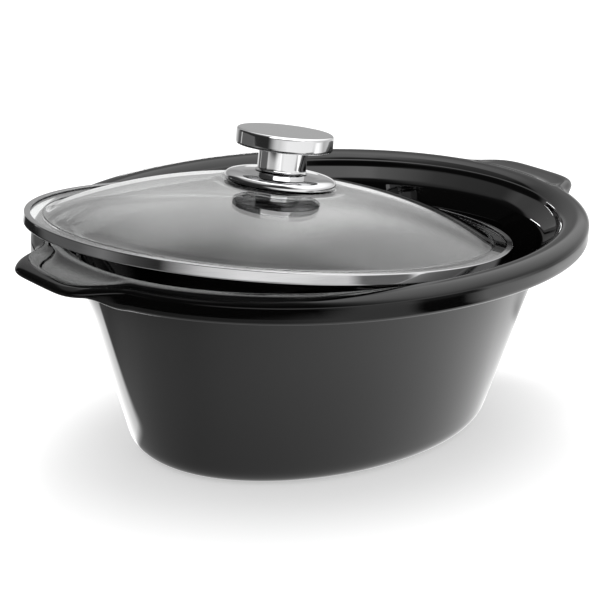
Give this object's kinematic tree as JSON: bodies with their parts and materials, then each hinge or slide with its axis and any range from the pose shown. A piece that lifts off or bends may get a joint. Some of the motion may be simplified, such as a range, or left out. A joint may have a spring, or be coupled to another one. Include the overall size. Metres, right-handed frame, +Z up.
{
  "type": "slow cooker",
  "caption": "Oval black-glazed stoneware slow cooker crock with an ear at each end, and a domed glass lid with a steel rim and round chrome knob lying ajar on it.",
  "frame": {"origin": "middle of the crock's flat underside, on the surface it stands on", "axes": "+X along the oval, from the ear under the raised end of the lid to the other ear, +Y across it, +Z up"},
  "size_m": [0.3958, 0.298, 0.1943],
  "materials": {
    "glaze": "gloss black glaze on stoneware",
    "glass": "clear tempered glass",
    "steel": "satin stainless steel",
    "chrome": "polished chrome plate",
    "silicone": "matt grey silicone"
  },
  "bodies": {
    "crock": {"crock": "glaze"},
    "lid": {"lid_glass": "glass", "lid_rim_band": "steel", "knob_base": "chrome", "knob_stem": "chrome", "knob_cap": "chrome", "knob_gasket_upper": "silicone", "knob_gasket_lower": "silicone", "knob_washer": "steel", "knob_screw": "steel"}
  },
  "joints": [
    {"name": "lid_lift", "type": "slide", "parent": "crock", "child": "lid", "axis": [0, 0, 1], "range_m": [0, 0.15]}
  ]
}
